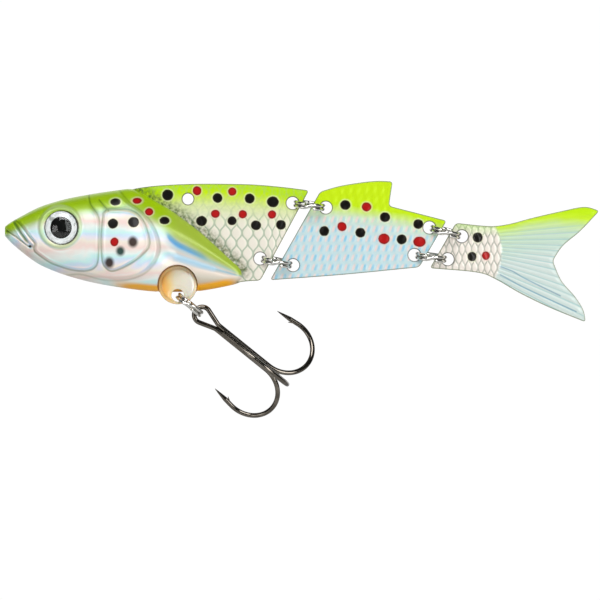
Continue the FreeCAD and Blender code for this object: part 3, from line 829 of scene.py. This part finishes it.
tail = {
    "body": "tail", "node": "tail_blade",
    "outline": outlineOf(
        [(40.65, -3.64), (45.8, -4.12), (48.8, -3.78), (52.2, -2.88), (56.8, -1.82), (60.2, -1.2),
         (62.45, -1.8)],
        [(62.45, -1.8), (59.5, -4.9), (56.9, -7.1), (55.35, -9.4)],
        [(55.35, -9.4), (56.68, -12.42), (58.65, -14.7), (60.0, -16.85), (60.35, -18.7)],
        [(60.35, -18.7), (54.95, -16.5), (50.4, -14.3), (46.75, -12.2), (43.9, -11.15), (36.72, -10.5)],
        [(36.72, -10.5), (40.65, -3.64)]),
    "holes": ringHoles(("rear_upper", 1), ("rear_lower", 1)),
    "paint": [(40.7, -4.0), (44, -4.4), (47.6, -4.2), (51.3, -3.3), (55.9, -2.7), (60.1, -3.0),
              (62.5, -3.3)],
    "black": [(43.95, -5.84, 0.77, 0.77), (43.1, -8.74, 0.68, 0.72)],
    "red": [(45.2, -8.61, 0.62, 0.66)],
    "columns": [(36.0, 0.0), (50.0, 14.43)], "row": 1.4, "rowAt": -7.6,
    "apex": (34.7, -6.56), "rayPitch": 2.35, "finFrom": 47.5,
    "strong": [[(47.0, -10.1), (49.2, -10.95), (51.2, -12.1), (56.5, -14.7)],
               [(47.4, -11.5), (51.5, -13.7), (58.9, -17.1)]]}


def tailFields(x, z):
    one, two = lattice(x, z, tail["columns"], tail["row"], tail["rowAt"])
    # fin rays fan out from a point ahead of the tail and droop a little below the middle
    ax, az = tail["apex"]
    angle = np.degrees(np.arctan2(z - az, x - ax))
    angle = angle + 0.12 * np.clip(x - 47, 0, None) * ease(-angle, 2, 18)
    arc = tail["finFrom"] - 0.06 * (z + 8.0) ** 2
    strong = np.minimum(*[lineDistance(x, z, smoothRun(line)) for line in tail["strong"]])
    return {"latticeOne": one, "latticeTwo": two, "ray": angle / tail["rayPitch"],
            "fin": ease(x - arc, -0.25, 0.35), "strong": strong}


def tailRelief(x, z):
    fields = tailFields(x, z)
    ridge = 0.5 + 0.5 * np.cos(2 * math.pi * fields["ray"])
    scales = 0.13 * scaleHeight(fields["latticeOne"], fields["latticeTwo"])
    return scales * (1 - fields["fin"]) + 0.07 * ridge * fields["fin"]


def tailMaterial():
    # raised cream scales, then a ribbed fin: pale green and cyan rays under a chartreuse edge
    material, add, place = newMaterial("tail_fin_paint")
    cloud = add("TexNoise", {"Vector": place, "Scale": 320.0, "Detail": 4.0})
    ray = field(add, "ray")
    gap = add("Math", {0: ray, 1: 0.5}, operation="PINGPONG")
    # each ray and its groove carry their own faint streaks
    spread = add("CombineXYZ", {0: add("Math", {0: ray, 1: 6.0}, operation="MULTIPLY"),
                                          1: add("SeparateXYZ", {0: place})})
    streak = add("TexNoise", {"Vector": spread, "Scale": 1.0, "Detail": 3.0})
    down = add("Math", {0: cloud, 1: 0.8, 2: field(add, "down")}, operation="MULTIPLY_ADD")
    level = add("MapRange", {0: down, 1: -1.5, 2: 6.5})
    finBase = add("ValToRGB", {0: level}, stops=[
        (0.12, "#BEE800"), (0.24, "#C6E92A"), (0.36, "#C4E094"), (0.5, "#C0DABC"), (0.75, "#C0D8CA"),
        (1.0, "#CCDBD6")])
    near, line = ogee(add, (0.1, 0.24))
    # painted shade and highlight: each raised scale goes grey towards its outline and cream at its middle
    domeShading = add("MapRange", {0: near, 1: 0.02, 2: 0.22}, **smooth)
    scale = add("ValToRGB", {0: domeShading}, stops=[
        (0.0, "#B4B3A8"), (0.4, "#D6D3C8"), (1.0, "#EFE6DC")])
    greenTop = add("MapRange", {0: level, 1: 0.42, 2: 0.12, 4: 0.8})
    scaled = painted(add, scale, ("#A9D468", greenTop))
    groove = add("MapRange", {0: gap, 1: 0.3, 2: 0.5, 4: 0.75}, **smooth)
    pale = add("MapRange", {0: level, 1: 0.3, 2: 0.5})
    grooveShare = add("Math", {0: groove, 1: pale}, operation="MULTIPLY")
    warm = add("MapRange", {0: streak, 1: 0.5, 2: 0.72, 4: 0.55})
    warmShare = add("Math", {0: warm, 1: pale}, operation="MULTIPLY")
    strong = field(add, "strong", 0.16, 0.04, (0.0, 0.7))
    rayed = painted(add, finBase, ("#9CC5C4", grooveShare), ("#F2E4DC", warmShare), ("#6092AC", strong))
    whole = painted(add, scaled, (rayed, field(add, "fin")))
    return coated(material, add, whole, place, streak, {
        "rim": "#77835C", "bump": 0.15, "rough": 0.34, "foil": 0.1, "coat": 0.3})


# head

head = {
    "top": [(-27.8, -4.22), (-27.0, -3.58), (-25.2, -2.56), (-22.5, -1.21), (-19.7, -0.3), (-17.0, 0.33),
            (-13.4, 0.95), (-10.4, 1.38), (-8.9, 1.52), (-7.5, 1.15), (-4.1, -0.8), (-2.5, -1.75),
            (1.82, -4.95), (6.22, -8.9), (7.6, -10.1), (8.2, -10.85)],
    "bottom": [(-27.8, -5.6), (-27.0, -6.5), (-25.2, -8.07), (-22.5, -9.97), (-18.8, -11.5),
               (-14.3, -12.72), (-9.7, -13.52), (-5.2, -14.04), (-1.5, -14.1), (2.1, -13.92),
               (6.7, -13.05), (8.2, -12.48)],
    "width": [(-27.8, 0.0), (-27.72, 0.4), (-27.45, 0.8), (-26.9, 1.25), (-26.0, 1.8), (-24.5, 2.7),
              (-21.6, 3.9), (-18.0, 4.7), (-13.6, 5.0), (-9.6, 4.75), (-6.4, 4.15), (-3.0, 3.35),
              (1.0, 2.45), (4.8, 1.65), (7.0, 1.1), (7.9, 0.75), (8.2, 0.45)],
    "from": -27.8, "length": 36.0, "columns": 300, "rows": 170, "inside": 6,
    "mouth": [(-28.0, -4.7), (-27.32, -4.95), (-25.88, -5.87), (-24.29, -7.1), (-23.9, -7.22)],
    "maxilla": [(-26.3, -3.6), (-25.5, -4.86), (-25.2, -5.31), (-24.14, -6.68), (-23.6, -7.2)],
    "pit": (-23.83, -7.24),
    "cheek": [(-24.74, -4.4), (-23.83, -5.62), (-22.95, -6.75), (-23.05, -7.5), (-22.85, -8.05),
              (-20.95, -9.4), (-19.3, -10.1), (-17.4, -10.65), (-15.48, -10.78), (-14.2, -10.4),
              (-13.62, -9.26), (-13.43, -5.62), (-13.5, -2.9), (-14.72, -0.99), (-17.0, 3.0),
              (-27.0, 0.0), (-27.5, -2.6), (-25.9, -3.2)],
    "opercle": [(-12.55, -2.3), (-12.8, -5.62), (-12.72, -9.2), (-12.2, -10.4), (-11.2, -10.8),
                (-8.96, -9.9), (-6.98, -8.5), (-5.85, -7.0), (-6.22, -4.75), (-7.13, -2.9),
                (-8.5, -1.95), (-10.63, -1.7), (-11.99, -1.8)],
    "cover": [(-8.9, -0.6), (-8.0, -1.3), (-6.3, -2.7), (-4.85, -4.86), (-4.28, -7.0), (-4.45, -8.5),
              (-5.31, -10.02), (-6.9, -11.4), (-9.5, -12.2), (-12.75, -12.15), (-16.39, -11.3),
              (-20.0, -11.6), (-30.0, -12.0), (-30.0, 4.0), (-13.0, 4.0)],
    "crease": [(-13.35, -0.2), (-12.5, -1.2), (-11.9, -1.85)],
    "bezel": (-19.15, -4.3), "bezelRadius": 2.98,
    "green": [(-27.8, 1.3), (-24.0, 2.0), (-18.0, 2.9), (-12.0, 2.9), (-6.0, 2.9), (-2.0, 3.1),
              (1.6, 2.6), (4.6, 1.7), (8.2, 0.7)],
    "black": [(-11.19, -3.81, 0.76, 0.76), (-8.09, -3.6, 0.83, 0.78), (-10.87, -0.52, 0.78, 0.57),
              (-3.49, -3.31, 0.77, 0.6)],
    "red": [(-10.96, -6.57, 0.62, 0.66), (-7.64, -0.33, 0.7, 0.47), (-5.8, -2.0, 0.63, 0.58)],
    "brown": [(-8.21, -6.57, 0.66, 0.74), (-11.76, -9.7, 0.66, 0.8)],
    "teal": [(-10.09, -7.95, 0.6, 0.66)],
    "streak": [(-3.6, -5.0), (-3.1, -5.46), (-1.67, -6.76), (0.15, -7.68), (2.28, -8.65), (3.6, -9.4)],
    "patch": [(-1.6, -8.9), (1.0, -9.7), (3.8, -10.5)]}
headTop = evenRun(smoothRun(head["top"]), 0.3)
headBottom = evenRun(smoothRun(head["bottom"]), 0.3)
headWidth = smoothRun(head["width"])
# the carved lines of the head, and the closed ones of its plates
carved = {name: smoothRun(head[name]) for name in ("mouth", "maxilla", "crease", "streak", "patch")}
plates = {name: evenRun(smoothRun(head[name] + head[name][:1]), 0.3) for name in ("cheek", "opercle")}
plates["cover"] = evenRun(smoothRun(head["cover"]), 0.4)


def squeeze(x, z, centre, radius):
    # points near a circle crowd up to it, so that a step in depth there is round and steep
    dx, dz = x - centre[0], z - centre[1]
    away = np.hypot(dx, dz) + 1e-9
    gap = away - radius
    close = 0.1 + 0.9 * ease(np.abs(gap), 0.12, 0.4)
    scale = (radius + gap * close) / away
    return centre[0] + dx * scale, centre[1] + dz * scale


def bump(distance, width):
    return np.exp(-(distance / width) ** 2)


def headDepth(x, z, start):
    # carved detail, added to the smooth half width: plates stand proud with a bead at their
    # edge and a groove outside it, the mouth and the creases are cut in
    lift = np.zeros_like(start)
    for name, rise, bead in (("cheek", 0.17, 0.1), ("opercle", 0.17, 0.12)):
        gap = insideBy(x, z, plates[name])
        lift += rise * ease(gap, -0.05, 0.35) + bead * bump(gap - 0.2, 0.17) - 0.12 * bump(gap + 0.2, 0.2)
    gap = insideBy(x, z, plates["cover"])
    lift += 0.3 * ease(gap, -0.1, 0.4) + 0.14 * bump(gap - 0.45, 0.32)
    lift -= 0.3 * bump(lineDistance(x, z, carved["mouth"]), 0.16)
    lift -= 0.2 * bump(lineDistance(x, z, carved["maxilla"]), 0.2)
    lift += 0.12 * bump(lineDistance(x, z, carved["maxilla"]) - 0.42, 0.16)
    lift -= 0.5 * bump(np.hypot(x - head["pit"][0], z - head["pit"][1]), 0.28)
    lift -= 0.16 * bump(lineDistance(x, z, carved["crease"]), 0.22)
    away = np.hypot(x - head["bezel"][0], z - head["bezel"][1])
    lift += 0.24 * bump(away - head["bezelRadius"], 0.3) - 0.06 * bump(away - 3.5, 0.2)
    return lift


def headHalf(side):
    # shell of one side as a function of (x, t): t runs from the back to the belly, and the half
    # width there is w(x) times (1 - |2t - 1|^p)^(1/p). A flute is pressed in behind the gills.
    v = np.linspace(0, 1, head["columns"])
    x = head["from"] + head["length"] * (0.25 * v * v + 0.75 * v)
    top, bottom = np.interp(x, *headTop.T), np.interp(x, *headBottom.T)
    wide = np.interp(x, *headWidth.T)
    t = (1 - np.cos(math.pi * np.linspace(0, 1, head["rows"]))) / 2
    x, t = np.meshgrid(x, t, indexing="ij")
    top, bottom, wide = top[:, None], bottom[:, None], wide[:, None]
    z = top + (bottom - top) * t
    x = x + 0.5 * bump(z + 4.95, 0.3) * (1 - ease(x, -27.7, -26.2))
    power = 2.3 - 0.4 * t
    bulge = (1 - np.abs(2 * t - 1) ** power) ** (1 / power)
    rear = ease(x, -5.5, -1.5) * (1 - ease(x, 5.5, 8.0))
    flute = 0.26 * bump(t - 0.5, 0.15) - 0.05 * bump(t - 0.2, 0.1)
    for place, radius in (((eye["x"], eye["z"]), eye["seat"]), (hanger["centre"], hanger["pocketRadius"])):
        x, z = squeeze(x, z, place, radius)
    y = wide * bulge * (1 - flute * rear)
    y = y + headDepth(x, z, y) * ease(bulge, 0.15, 0.7) * ease(x, -27.8, -26.9)
    slope = math.tan(math.radians(eye["turn"]))
    seat = eye["out"] + slope * (x - eye["x"]) - 0.03
    y = np.where(np.hypot(x - eye["x"], z - eye["z"]) < eye["seat"], seat, y)
    pocket = np.hypot(x - hanger["centre"][0], z - hanger["centre"][1]) < hanger["pocketRadius"]
    y = np.where(pocket, np.minimum(y, hanger["pocketHalf"]), y)
    outer = np.stack([x, side * np.maximum(y, 0), z], axis=-1)
    # the ring of each station closes along the mid-plane
    share = np.linspace(1, 0, head["inside"] + 2)[None, 1:-1, None]
    inner = outer[:, :1] + (outer[:, -1:] - outer[:, :1]) * share
    grid = np.concatenate([outer, inner], axis=1)
    points, faces = closedEnds(grid.reshape(-1, 3), *grid.shape[:2],
                               grid[0].mean(axis=0), grid[-1].mean(axis=0))
    if side > 0:
        faces = [f[:, ::-1] for f in faces]
    return points, faces


def headFields(points):
    x, z = points[:, 0], points[:, 2]
    back = lineDistance(x, z, headTop) / np.interp(x, *zip(*head["green"]))
    low = lineDistance(x, z, headBottom)
    share = (np.interp(x, *headTop.T) - z) / (np.interp(x, *headTop.T) - np.interp(x, *headBottom.T))
    belly = (1 - ease(low, 0.25, 1.6)) * ease(x, -13.5, -6.5) * (1 - ease(x, 5.0, 8.4))
    # painted shade along the grooves of the plates, the mouth and the nape crease
    creaseShade = np.zeros_like(x)
    for name in ("cheek", "opercle"):
        gap = insideBy(x, z, plates[name])
        creaseShade = np.maximum(creaseShade, bump(gap + 0.16, 0.15))
    gap = insideBy(x, z, plates["cover"])
    creaseShade = np.maximum(creaseShade, 0.6 * bump(gap + 0.15, 0.2))
    for name, width in (("mouth", 0.13), ("crease", 0.15)):
        creaseShade = np.maximum(creaseShade, bump(lineDistance(x, z, carved[name]), width))
    # painted shade along the maxilla groove, fading out towards the jaw
    maxilla = bump(lineDistance(x, z, carved["maxilla"]), 0.26) * (1 - ease(-z, 6.2, 7.2))
    # painted shade: the nostril pit and the gap round the eye socket go dark
    pit = bump(np.hypot(x - head["pit"][0], z - head["pit"][1]), 0.26)
    socket = bump(np.hypot(x - eye["x"], z - eye["z"]) - 2.56, 0.1)
    away = np.hypot(x - head["bezel"][0], z - head["bezel"][1])
    # painted shade in the pocket round the hook hanger, belly orange darkened to brown
    pocket = 1 - ease(np.hypot(x - hanger["centre"][0], z - hanger["centre"][1]), 3.04, 3.07)
    # painted reflection: a blue streak along the flute, and a pale blue patch below it
    streak = bump(lineDistance(x, z, carved["streak"]), 0.5)
    streak = streak * ease(x, -3.8, -2.6) * (1 - ease(x, 1.6, 4.2))
    return {"back": back, "belly": belly, "share": share, "crease": creaseShade, "maxilla": maxilla,
            "pit": np.maximum(pit, socket), "bezel": bump(away - head["bezelRadius"], 0.42),
            "pocket": pocket,
            "streak": streak,
            "patch": bump(lineDistance(x, z, carved["patch"]), 0.6),
            "blackSpot": spotGap(x, z, head["black"]), "redSpot": spotGap(x, z, head["red"]),
            "brownSpot": spotGap(x, z, head["brown"]), "tealSpot": spotGap(x, z, head["teal"]),
            "edge": np.full_like(x, 1.0), "bore": np.full_like(x, 1.0)}


def headMaterial():
    # chartreuse back over holographic pearl: pastel bands that follow the curve of the side, partly
    # a painted sheen; an orange throat, and painted shade that darkens the grooves
    material, add, place = newMaterial("head_pearl_paint")
    parts = add("SeparateXYZ", {0: place})
    facing = add("SeparateXYZ", {0: place.node.outputs["Normal"]})
    cloud = add("TexNoise", {"Vector": place, "Scale": 220.0, "Detail": 4.0, "Distortion": 0.5})
    stretched = add("Mapping", {0: place, "Scale": (0.35, 1.0, 1.0), "Rotation": (0.0, 0.5, 0.0)})
    brushed = add("TexNoise", {"Vector": stretched, "Scale": 700.0, "Detail": 4.0})
    # bands: height, tilt of the surface and a slow cloud add up to one turn of the ramp; the
    # pastel colours are the paint's own, and their shift with the tilt of the surface is a painted sheen
    rise = add("Math", {0: parts.outputs["Z"], 1: -303.0, 2: -0.85}, operation="MULTIPLY_ADD")
    tilt = add("Math", {0: facing.outputs["Z"], 1: 0.5, 2: rise}, operation="MULTIPLY_ADD")
    drift = add("Math", {0: cloud, 1: 0.5, 2: tilt}, operation="MULTIPLY_ADD")
    thin = add("Math", {0: brushed, 1: 0.35, 2: drift}, operation="MULTIPLY_ADD")
    turn = add("Math", {0: thin}, operation="FRACT")
    pearl = add("ValToRGB", {0: turn}, stops=[
        (0.0, "#E6EFEA"), (0.17, "#C8EEEC"), (0.3, "#CDE2F2"), (0.44, "#E6E2EC"), (0.58, "#EEE6D8"),
        (0.76, "#EED6CE"), (1.0, "#E6EFEA")])
    # behind the gills the bands run with the flute, down to the tail of the head
    share = add("Math", {0: brushed, 1: 0.05, 2: field(add, "share")}, operation="MULTIPLY_ADD")
    fluted = add("ValToRGB", {0: share}, stops=[
        (0.3, "#C9D6A8"), (0.37, "#E0D8C0"), (0.44, "#A8D2E2"), (0.52, "#D4CBC0"), (0.58, "#8FB4C2"),
        (0.66, "#DDCFC2"), (0.78, "#D2CBBB"), (0.92, "#C0B096")])
    rear = add("MapRange", {0: parts.outputs["X"], 1: -4.4 * mm, 2: -1.0 * mm}, **smooth)
    back = add("Math", {0: cloud, 1: 0.3, 2: field(add, "back")}, operation="MULTIPLY_ADD")
    level = add("MapRange", {0: back, 1: 0.0, 2: 2.0})
    green = add("ValToRGB", {0: level}, stops=[
        (0.1, "#A8D000"), (0.3, "#9CC410"), (0.45, "#A2C43A"), (0.62, "#A8C878"), (0.8, "#AECCA4")])
    cover = add("MapRange", {0: level, 1: 0.78, 2: 0.42}, **smooth)
    olive = painted(add, green, ("#A4B44C", add("Math", {0: rear, 1: 0.6}, operation="MULTIPLY")))
    colour = painted(
        add, pearl, (fluted, rear),
        # painted reflection: the blue streak and the pale blue patch along the flute
        ("#3C9CE4", field(add, "streak", 0.1, 0.95, (0.0, 0.95))),
        ("#A9D0E8", field(add, "patch", 0.1, 0.9, (0.0, 0.55))), (olive, cover),
        ("#B9D58A", field(add, "bezel", 0.1, 0.9, (0.0, 0.6))),
        # painted shade: grey-green multiplied into the carved grooves and creases
        ("#7F9471", field(add, "crease", 0.1, 0.95, (0.0, 0.62)), "MULTIPLY"),
        # dark green painted shade in the maxilla groove
        ("#3F6A1C", field(add, "maxilla", 0.2, 0.9, (0.0, 0.75))),
        ("#F8AE14", field(add, "belly", 0.02, 0.75, (0.0, 0.98))))
    for name, ink in (("brownSpot", "#2A120A"), ("tealSpot", "#0C3A32")):
        soft = add("Math", {0: cloud, 1: 0.3, 2: field(add, name)}, operation="MULTIPLY_ADD")
        colour = painted(add, colour, (ink, add("MapRange", {0: soft, 1: 0.5, 2: -0.1, 4: 0.97}, **smooth)))
    # near-black painted shade in the nostril pit and round the eye socket
    colour = painted(add, colour, ("#2C2A22", field(add, "pit", 0.2, 0.9, (0.0, 0.85))),
                     # orange-brown painted shade on the pocket round the hanger disc
                     ("#C08A44", field(add, "pocket", 0.2, 0.8, (0.0, 0.75))))
    return coated(material, add, colour, place, brushed, {
        "rim": "#B5D060", "bump": 0.12, "rough": 0.34, "foil": 0.08, "coat": 0.22})


headPaint = headMaterial()
for side, label in ((-1, "left"), (1, "right")):
    points, faces = headHalf(side)
    makePiece("head_side_" + label, points, faces, headPaint, "head", "painted_head",
              ["head_shell_" + label], headFields(points), 60)
print("head")
makeBlade("front_plate", front, frontMaterial(), frontFields, frontRelief)
makeBlade("mid_plate", mid, midMaterial(), midFields, midRelief)
makeBlade("tail_plate", tail, tailMaterial(), tailFields, tailRelief)
print("blades")


# floor and light

room = {"floorAt": -80.0, "floorHalf": 240.0}
half, low = room["floorHalf"], room["floorAt"]
floorMesh = bpy.data.meshes.new("floor")
floorMesh.from_pydata([((17 + i * half) * mm, j * half * mm, low * mm)
                       for i, j in ((-1, -1), (1, -1), (1, 1), (-1, 1))], [], [(0, 1, 2, 3)])
floor = bpy.data.objects.new("floor", floorMesh)
bpy.context.scene.collection.objects.link(floor)
# pale painted board
board, add, place = newMaterial("pale_board")
grain = add("TexNoise", {"Vector": place, "Scale": 60.0})
tone = add("ValToRGB", {0: grain}, stops=[(0.3, "#F1F1EF"), (0.7, "#F6F6F4")])
floorMesh.materials.append(finish(board, add, Base_Color=tone, Roughness=0.8))

# even white room, dimmer behind the viewer and below, so that metal has something dark to mirror
world = bpy.data.worlds.new("room")
world.use_nodes = True
world.node_tree.nodes.clear()
add = partial(addNode, world.node_tree)
way = add("SeparateXYZ", {0: add("TexCoord").outputs["Generated"]})
ahead = add("MapRange", {0: way.outputs["Y"], 1: 0.45, 2: 0.92}, **smooth)
tone = add("ValToRGB", {0: ahead}, stops=[(0.0, "#46484A"), (1.0, "#FFFFFF")])
sky = add("Background", {"Color": tone, "Strength": 1.02})
add("OutputWorld", {"Surface": sky})
bpy.context.scene.world = world


def softbox(name, at, toPoint, size, power):
    data = bpy.data.lights.new(name, "AREA")
    data.shape = "RECTANGLE"
    data.size, data.size_y = size[0] * mm, size[1] * mm
    data.energy = power
    lamp = bpy.data.objects.new(name, data)
    lamp.location = np.asarray(at) * mm
    aim = Vector((np.asarray(toPoint, float) - np.asarray(at, float)).tolist())
    lamp.rotation_euler = aim.to_track_quat("-Z", "Y").to_euler()
    bpy.context.scene.collection.objects.link(lamp)


softbox("key", (-60, -320, 330), (15, 0, -8), (300, 220), 1.35)
softbox("fill", (260, -360, 40), (20, 0, -10), (200, 300), 0.95)
softbox("kick", (-220, -200, -60), (0, 0, -8), (120, 200), 0.2)
bpy.context.scene.view_settings.view_transform = "Standard"

print("floor and light")
